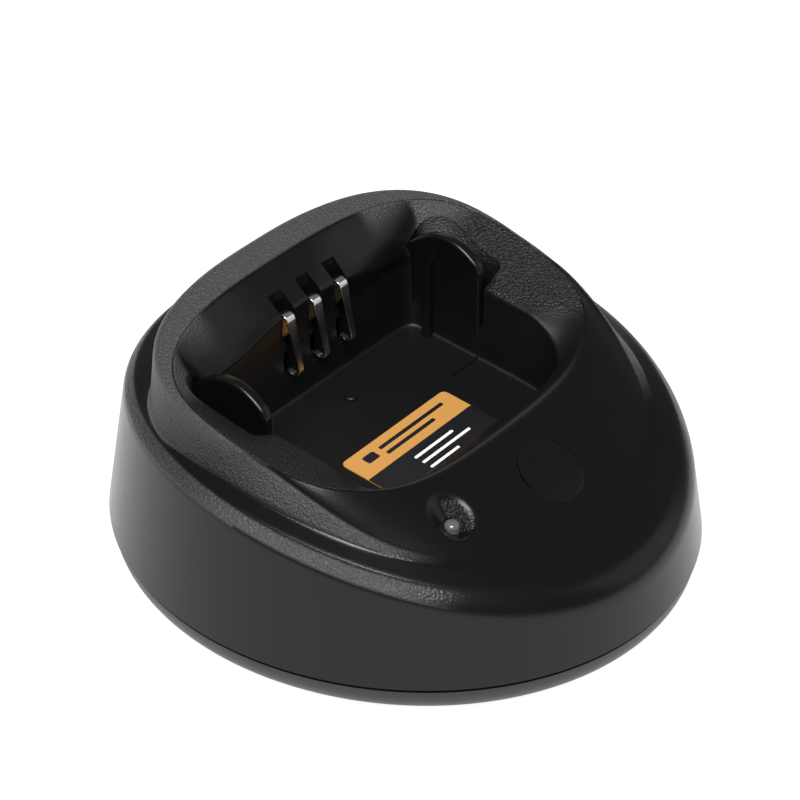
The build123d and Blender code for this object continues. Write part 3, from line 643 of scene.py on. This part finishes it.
# %% Finishes
BLACK = (0.003, 0.003, 0.0033)
# The grey 0.05 is painted onto the grain by the second mask, partly its tone and partly highlight.
housing_finish = grained_plastic("housing_black", BLACK, (0.05, 0.05, 0.05), 0.26, 0.38)
base_finish = moulded_plastic("base_black", (0.012, 0.012, 0.012), 0.42, 0.45, 0.5, 0.03)
badge_finish = moulded_plastic("badge_black", BLACK, 0.26, 0.35)
nickel = metal("bright_nickel", (0.83, 0.82, 0.78), 0.16)
brass = metal("terminal_brass", (0.75, 0.56, 0.25), 0.25)
zinc = metal("zinc_plate", (0.55, 0.56, 0.58), 0.32)
can_metal = metal("capacitor_can", (0.62, 0.63, 0.65), 0.22)
carrier_finish = moulded_plastic("carrier_black", (0.03, 0.03, 0.032), 0.45)
inlet_finish = moulded_plastic("inlet_black", (0.015, 0.015, 0.015), 0.4)
chip_finish = moulded_plastic("chip_epoxy", (0.02, 0.02, 0.021), 0.55, pore_mm=0.15)
ferrite = moulded_plastic("ferrite_grey", (0.06, 0.06, 0.062), 0.6, pore_mm=0.2, depth_mm=0.02)
foot_finish = moulded_plastic("foot_rubber", (0.02, 0.02, 0.02), 0.8, 0.25, 0.3, 0.02)
board_finish = moulded_plastic("board_mask", (0.02, 0.12, 0.045), 0.3, pore_mm=1.2, depth_mm=0.01)
insulation = moulded_plastic("lead_insulation", (0.42, 0.03, 0.02), 0.4)
lamp_finish = moulded_plastic("lamp_body", (0.75, 0.76, 0.7), 0.3)
plate_finish = moulded_plastic("plate_film", (0.42, 0.42, 0.43), 0.35, pore_mm=0.8)
orange_ink = moulded_plastic("label_orange", (0.5, 0.245, 0.06), 0.5, pore_mm=0.5)
dark_ink = moulded_plastic("label_dark", (0.008, 0.008, 0.01), 0.3, pore_mm=0.5)
white_ink = moulded_plastic("label_white", (0.85, 0.85, 0.84), 0.4, pore_mm=0.5)
lens_finish = moulded_plastic("lens_clear", (0.16, 0.16, 0.165), 0.12)
lens_finish.node_tree.nodes["Principled BSDF"].inputs["Transmission Weight"].default_value = 0.45
lens_finish.node_tree.nodes["Principled BSDF"].inputs["Coat Weight"].default_value = 0.6
print("materials:", len(bpy.data.materials))

finish_mesh(moulding, housing_finish)
even = moulding.modifiers.new("even_normals", "WEIGHTED_NORMAL")
even.mode, even.keep_sharp, even.weight = "FACE_AREA", True, 50
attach(moulding, "cradle")
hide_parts("top_housing")

# %% [markdown]
# ## Dressing the carried-over nodes
# The parts inside, the screws, the feet and the power inlet already have their right shapes as
# CAD nodes. They keep their meshes and only change their finish.

# %% Finishes on CAD nodes
dress = {
    "contact_carrier": carrier_finish, "contact_terminals": brass, "carrier_screws": zinc,
    "status_led": lamp_finish, "main_board": board_finish, "dc_inlet": inlet_finish,
    "inlet_center_pin": nickel, "rubber_feet": foot_finish, "case_screws": zinc,
    "board_screws": zinc, "charge_ic": chip_finish, "inductor": ferrite,
    "filter_capacitors": can_metal, "power_transistor": chip_finish,
    "chip_resistors": chip_finish, "lead_header": carrier_finish, "contact_leads": insulation,
    "rating_plate": plate_finish, "base_cover": base_finish, "status_light_pipe": lens_finish,
    "contact_left": nickel, "contact_center": nickel, "contact_right": nickel,
    "badge_disc": badge_finish, "pocket_label": orange_ink, "top_housing": housing_finish}
for name, finish in dress.items():
    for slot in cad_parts[name].material_slots:
        slot.material = finish
print("dressed", len(dress), "nodes")

# %% [markdown]
# ## The base pan
# Under the moulding sits a shallow pan whose sides tuck inwards all the way to the floor, so
# only a narrow dark rim of it shows beneath the seam. A few rings that follow part of an
# ellipse give that rolled edge, and the underside is flat with shallow seats for the feet.

# %% Base pan
base_low, base_high = (np.array(c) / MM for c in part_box("base_cover"))
foot_high = np.array(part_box("rubber_feet")[1]) / MM
BASE_X, BASE_Y, UNDERSIDE = base_high[0], base_high[1], base_low[2]


def oval(inset, z):
    """Ring of the base: its outline pulled in all round by an inset, at one height."""
    turn = np.linspace(0, 2 * np.pi, TURNS, endpoint=False)
    return at_height((BASE_X - inset) * np.cos(turn), (BASE_Y - inset) * np.sin(turn), z)


base_top = SEAM_Z - 0.95
share = np.linspace(0, 1, 12)
tuck = 3.6 * (1 - np.sqrt(1 - 0.94 * share ** 2))
side = [oval(t, base_top - s * (base_top - UNDERSIDE)) for t, s in zip(tuck, share)]
under = [oval(tuck[-1] + 0.5 + step, UNDERSIDE) for step in (0, 8, 20, 36)]
upper = [oval(36, 3.3), oval(9.0, 3.3), oval(4.6, 3.4), oval(2.4, base_top - 0.3), oval(0.6, base_top)]
rows = np.stack(upper + side + under)
base_pan = closed_shell("base_pan", rows, [0, 0, 3.3], [0, 0, UNDERSIDE])
FOOT_R, SEAT_R = 6.0, 6.15
foot_x, foot_y = foot_high[0] - FOOT_R, foot_high[1] - FOOT_R
seats = [turned([(SEAT_R, -1.0), (SEAT_R, 0.8)], np.array([sx * foot_x, sy * foot_y, UNDERSIDE]),
                [0, 0, 1.0]) for sx in (-1, 1) for sy in (-1, 1)]
boolean(base_pan, body("seats", *seats), "DIFFERENCE")
finish_mesh(base_pan, base_finish)
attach(base_pan, "cradle")

# %% [markdown]
# ## The contact blades
# Each blade is one strip of nickel-plated spring metal. It leaves the carrier behind the wall,
# hooks over the top of its slot, runs down the wall and turns out again at its foot, where it
# touches the radio. Its middle line is swept with a thin rectangle that narrows to the tip,
# and a bevel takes off the sheared edges.

# %% Blades
PIVOT_Y, PIVOT_Z = 25.1, 43.892       # the hinge line through the three hooks
HALF_STRIP = 0.15                     # half the metal's thickness


def rounded_path(corners, radii, bend=9):
    """Polyline with each inner corner swapped for a parabola reaching along both legs."""
    corners = np.asarray(corners, float)
    path = [corners[0]]
    for k in range(1, len(corners) - 1):
        back, ahead = corners[k - 1] - corners[k], corners[k + 1] - corners[k]
        start = corners[k] + back / np.linalg.norm(back) * radii[k - 1]
        end = corners[k] + ahead / np.linalg.norm(ahead) * radii[k - 1]
        u = np.linspace(0, 1, bend)[:, None]
        path.extend((1 - u) ** 2 * start + 2 * u * (1 - u) * corners[k] + u ** 2 * end)
    path.append(corners[-1])
    return np.array(path)


def blade(name, x):
    """A strip 0.3 mm thick swept along the hook, wall run and toe, tapering to the tip."""
    top = PIVOT_Z + 1.3
    line = rounded_path([(PIVOT_Y + 1.3, PIVOT_Z - 2), (PIVOT_Y + 1.3, top), (PIVOT_Y - 1.36, top),
                         (21.0, 32.8), (22.3, 31.7), (24.4, 32.2)], (1.28, 1.28, 0.7, 0.7))
    heading = np.gradient(line, axis=0)
    heading /= np.linalg.norm(heading, axis=1, keepdims=True)
    normal = np.column_stack([-heading[:, 1], heading[:, 0]])
    half = 0.5 * (1.35 + 0.95 * smooth(36.0, PIVOT_Z + 0.5, line[:, 1]))
    rings = []
    for side_x, side_n in ((-1, -1), (1, -1), (1, 1), (-1, 1)):
        flat = line + normal * HALF_STRIP * side_n
        rings.append(np.column_stack([x + side_x * half, flat]))
    points = np.stack(rings, axis=1)
    n = len(points)
    faces = [(k * 4 + a, k * 4 + (a + 1) % 4, k * 4 + 4 + (a + 1) % 4, k * 4 + 4 + a)
             for k in range(n - 1) for a in range(4)]
    faces += [(3, 2, 1, 0), tuple(range(4 * n - 4, 4 * n))]
    piece = body(name, (points.reshape(-1, 3), faces))
    bevel(piece, 0.07, 2, 50)
    return piece


for side_name, x in zip(("left", "center", "right"), blade_x):
    strip = blade("blade_strip_" + side_name, x)
    finish_mesh(strip, nickel, 40)
    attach(strip, "blade_" + side_name)
    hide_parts("contact_" + side_name)

# %% [markdown]
# ## The badge
# The badge is a plain glossy disc let into the front of the collar, where it follows the
# collar's curl. It is made as rings of growing radius whose heights come from the collar's own
# function, so it needs no bending, and its last rings turn down to round the edge.

# %% Badge
def curled_disc():
    """Disc whose top follows the collar's curl: rings of radius r, height from collar_plane."""
    radii = np.array([0, 1.5, 3.0, 4.4, 5.6, 6.35, 6.68, 6.75, 6.75])
    drop = np.array([0.22, 0.22, 0.22, 0.22, 0.22, 0.22, 0.28, 0.42, 0.9])
    turn = np.linspace(0, 2 * np.pi, 96, endpoint=False)
    rings = []
    for r, d in zip(radii[1:], drop[1:]):
        x, y = r * np.cos(turn), BADGE_Y + r * np.sin(turn) * 0.955
        rings.append(at_height(x, y, collar_plane(y) - d))
    rows = np.stack(rings)
    n, m = rows.shape[:2]
    points = np.concatenate([rows.reshape(-1, 3), [[0, BADGE_Y, collar_plane(BADGE_Y) - drop[0]],
                                                   [0, BADGE_Y, collar_plane(BADGE_Y) - 0.9]]])
    faces = [(i * m + j, (i + 1) * m + j, (i + 1) * m + (j + 1) % m, i * m + (j + 1) % m)
             for i in range(n - 1) for j in range(m)]
    faces += [(n * m, j, (j + 1) % m) for j in range(m)]
    last = (n - 1) * m
    faces += [(n * m + 1, last + (j + 1) % m, last + j) for j in range(m)]
    return points, faces


badge = body("badge", curled_disc())
finish_mesh(badge, badge_finish)
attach(badge, "cradle")
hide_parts("badge_disc")

# %% [markdown]
# ## The label
# The label is a printed film on the pocket's floor: an orange field with a dark panel. The real
# one carries wording, which is left out, and a few plain bars keep its rhythm. Each ink is a
# very thin film of its own lying on the sloped floor, which keeps the edges of the print crisp.

# %% Label
label_low, label_high = (np.array(c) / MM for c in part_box("pocket_label"))


def film(low, high, rise, thick, corner=1.2):
    """A film lying on the sloped floor: rounded rectangle lifted by rise, a little thick."""
    (x0, y0), (x1, y1) = low, high
    turn = np.linspace(0, np.pi / 2, 7)
    quarter = [(x1 - corner, y1 - corner, 0), (x0 + corner, y1 - corner, 1),
               (x0 + corner, y0 + corner, 2), (x1 - corner, y0 + corner, 3)]
    plan = np.concatenate([np.column_stack([cx + corner * np.cos(turn + k * np.pi / 2),
                                            cy + corner * np.sin(turn + k * np.pi / 2)])
                           for cx, cy, k in quarter])
    n = len(plan)
    bottom = floor_height(plan[:, 1]) + rise
    points = np.concatenate([np.column_stack([plan, bottom]), np.column_stack([plan, bottom + thick])])
    faces = [tuple(range(n))[::-1], tuple(range(n, 2 * n))]
    faces += [(k, (k + 1) % n, (k + 1) % n + n, k + n) for k in range(n)]
    return points, faces


def printed(name, finish, *films):
    """One piece of the label: films sharing a finish, riding on the cradle."""
    piece = body(name, *films)
    finish_mesh(piece, finish)
    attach(piece, "cradle")
    return piece


LX0, LX1, LY0, LY1 = label_low[0], label_high[0], label_low[1], label_high[1]
FOLD = LY1 - 7.0
field = printed("label_field", orange_ink, film((LX0, LY0), (LX1, LY1), -0.02, 0.2))
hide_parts("pocket_label")
printed("label_panel", dark_ink, film((LX0, LY0), (LX1, FOLD), 0.17, 0.04, 0.3))
bars = [film((LX0 + 11.5, y - 0.32), (LX0 + 11.5 + w, y + 0.32), 0.2, 0.03, 0.3)
        for y, w in ((FOLD - 2.4, 12), (FOLD - 4.4, 15), (FOLD - 6.4, 9), (FOLD - 8.4, 13))]
printed("label_bars", white_ink, *bars)
lines = [film((LX0 + 4.0, LY1 - 4.1), (LX0 + 7.4, LY1 - 1.9), 0.17, 0.03, 0.5),
         film((LX0 + 9.0, LY1 - 2.9), (LX0 + 29.0, LY1 - 2.0), 0.17, 0.03, 0.35),
         film((LX0 + 9.0, LY1 - 4.9), (LX0 + 24.0, LY1 - 4.0), 0.17, 0.03, 0.35)]
printed("label_lines", dark_ink, *lines)

# %% [markdown]
# ## The lens
# The indicator is a small clear pipe with a domed tip that carries the lamp's light up from the
# board. It is a solid of revolution, and its tip stands just above the bottom of the dimple.

# %% Lens
tip = lens_high[2]
lens = body("lens", turned([(0.02, 0.0), (0.5, -0.03), (0.95, -0.14), (1.3, -0.36), (1.48, -0.7),
                            (1.5, -1.1), (1.5, -(tip - lens_low[2]))],
                           np.array([LENS_X, LENS_Y, tip]), [0, 0, 1.0], 48))
finish_mesh(lens, lens_finish)
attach(lens, "cradle")
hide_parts("status_light_pipe")
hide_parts("base_cover")

# %% [markdown]
# ## Camera
# A long lens from a little over half a metre flattens the perspective, as catalogue work does.
# The camera looks down 35 degrees from the front left.

# %% Camera
def aimed(thing, place, target):
    """Put a camera or light at a place in metres, looking at a target, upright."""
    thing.location = place
    thing.rotation_euler = (Vector(target) - Vector(place)).to_track_quat("-Z", "Y").to_euler()
    bpy.context.scene.collection.objects.link(thing)
    return thing


lens_data = bpy.data.cameras.new("camera")
lens_data.lens, lens_data.sensor_width = 129.96, 36.0
lens_data.clip_start, lens_data.clip_end = 0.05, 50.0
EYE, LOOK = (-0.36221, -0.28954, 0.35521), (0.009397, 0.008521, 0.02319)
bpy.context.scene.camera = aimed(bpy.data.objects.new("camera", lens_data), EYE, LOOK)

# %% [markdown]
# ## Light and floor
# Black plastic shows its shape only by what it mirrors. One strong soft panel high on the left
# draws the grain on the collar's slope and the shoulder, and two weak ones on the right keep
# the far side from going flat. The pale floor is mirrored in the skirt's flanks and gives a
# light of its own, to read as clean paper. The room stays dim so that the pocket remains black.

# %% Light and floor
def panel(name, place, size, power, tall=None):
    """A soft area light at a place in metres, aimed at the object."""
    data = bpy.data.lights.new(name, "AREA")
    data.shape, data.size, data.size_y = "RECTANGLE", size, tall or size
    data.energy = power
    return aimed(bpy.data.objects.new(name, data), place, (0, 0, 0.03))


panel("overhead", (-0.52, -0.34, 0.96), 0.62, 22.0, 0.66)
panel("right_fill", (0.9, -0.87, 0.57), 0.8, 1.2)
panel("right_back", (1.25, 0.75, 0.45), 1.0, 1.6)

world = bpy.data.worlds.new("room")
bpy.context.scene.world = world
world.use_nodes = True
backdrop = world.node_tree.nodes["Background"]
backdrop.inputs["Color"].default_value = (1.0, 1.0, 1.0, 1.0)
backdrop.inputs["Strength"].default_value = 0.14

floor = bpy.data.objects.new("floor", bpy.data.meshes.new("floor"))
floor.data.from_pydata([(-3, -3, 0), (3, -3, 0), (3, 3, 0), (-3, 3, 0)], [], [(0, 1, 2, 3)])
bpy.context.scene.collection.objects.link(floor)
paper, paper_tree, paper_shader = new_material("paper", (0.25, 0.25, 0.25), 0.6, specular=0.1)
paper_shader.inputs["Emission Color"].default_value = (1.0, 1.0, 1.0, 1.0)
paper_shader.inputs["Emission Strength"].default_value = 0.93
floor.data.materials.append(paper)
bpy.context.scene.view_settings.view_transform = "Standard"
